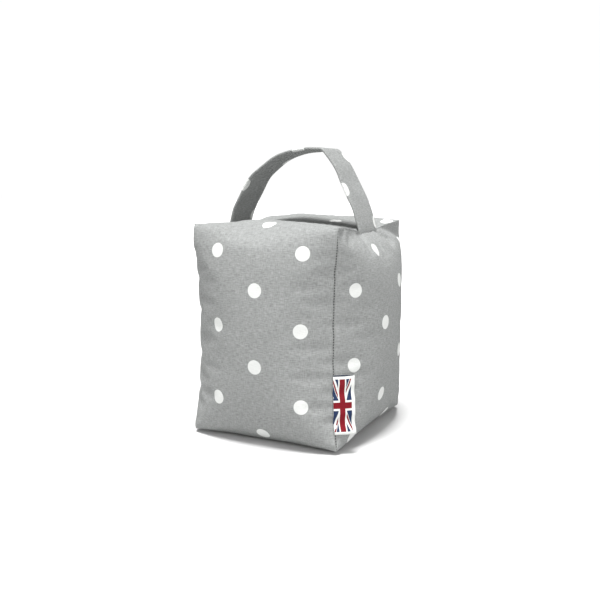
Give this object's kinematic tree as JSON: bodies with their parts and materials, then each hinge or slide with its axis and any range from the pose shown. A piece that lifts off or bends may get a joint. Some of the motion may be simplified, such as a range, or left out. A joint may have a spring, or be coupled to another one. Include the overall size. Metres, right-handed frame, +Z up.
{
  "type": "weighted fabric door stop",
  "caption": "Weighted door stop, a boxy spotted cotton bag sewn shut around its filling, with a strap handle over the top and a small folded tag in one side seam.",
  "frame": {"origin": "on the floor, at the middle of the flat base", "axes": "+Z up, the front faces -Y, and the strap runs along X from the left side to the right side"},
  "size_m": [0.1846, 0.1908, 0.2558],
  "materials": {
    "grey_cotton": "matt woven cotton with printed white spots",
    "grey_strap": "matt woven cotton with printed white spots",
    "woven_tag": "smooth woven ribbon"
  },
  "bodies": {
    "root": {"weighted_cover": "grey_cotton", "strap_handle": "grey_strap", "side_tag": "woven_tag"}
  },
  "joints": []
}
